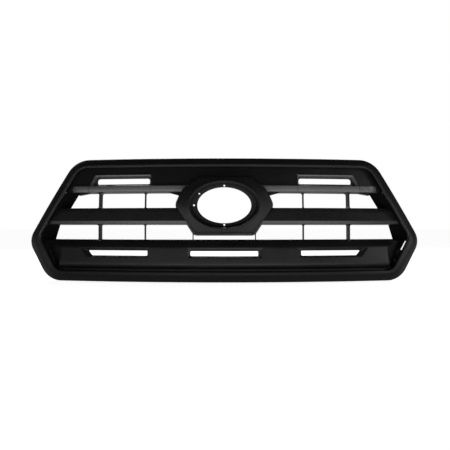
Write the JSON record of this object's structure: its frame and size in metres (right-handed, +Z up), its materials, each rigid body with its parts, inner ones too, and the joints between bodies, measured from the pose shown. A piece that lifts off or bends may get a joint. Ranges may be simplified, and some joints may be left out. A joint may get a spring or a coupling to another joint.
{
  "type": "front grille",
  "caption": "Six-sided bowed front grille in satin black plastic with a rounded surround, vented panels, a middle bar, upright ribs and an oval badge seat.",
  "frame": {"origin": "centre of the badge seat, on its ledge, midway between the two round locating holes", "axes": "+X across the grille to the right seen from the front, +Y rearwards to the radiator, +Z up"},
  "size_m": [1.0918, 0.1772, 0.337],
  "materials": {
    "satin_black": "satin black injection-moulded plastic with a fine grain",
    "black_plastic": "plain black moulded plastic",
    "retainer_plastic": "black nylon",
    "zinc_steel": "zinc-plated steel",
    "spring_steel": "phosphated spring steel",
    "foam_rubber": "closed-cell foam rubber"
  },
  "bodies": {
    "grille": {"bonnet_seal": "foam_rubber", "emblem_housing": "satin_black", "housing_screws": "zinc_steel", "lower_panel": "satin_black", "lower_spring_clips": "spring_steel", "mid_bar_left": "satin_black", "mid_bar_right": "satin_black", "retainer_body_left": "retainer_plastic", "retainer_body_right": "retainer_plastic", "rib_centre_left": "black_plastic", "rib_centre_right": "black_plastic", "rib_foot_screws": "zinc_steel", "rib_inner_left": "black_plastic", "rib_inner_right": "black_plastic", "rib_outer_left": "black_plastic", "rib_outer_right": "black_plastic", "side_cheek_left": "satin_black", "side_cheek_right": "satin_black", "side_pad_left": "foam_rubber", "side_pad_right": "foam_rubber", "strip_end_left": "satin_black", "strip_end_right": "satin_black", "strip_inner_left": "satin_black", "strip_inner_right": "satin_black", "strip_screws": "zinc_steel", "surround_frame": "satin_black", "surround_screws": "zinc_steel", "top_mount_rail": "black_plastic", "upper_panel": "satin_black", "vent_bezel_left": "satin_black", "vent_bezel_right": "satin_black"},
    "pin_left": {"retainer_pin_left": "retainer_plastic"},
    "pin_right": {"retainer_pin_right": "retainer_plastic"}
  },
  "joints": [
    {"name": "pin_slide_left", "type": "slide", "parent": "grille", "child": "pin_left", "axis": [0, 0, 1], "range_m": [0, 0.006]},
    {"name": "pin_slide_right", "type": "slide", "parent": "grille", "child": "pin_right", "axis": [0, 0, 1], "range_m": [0, 0.006]}
  ]
}
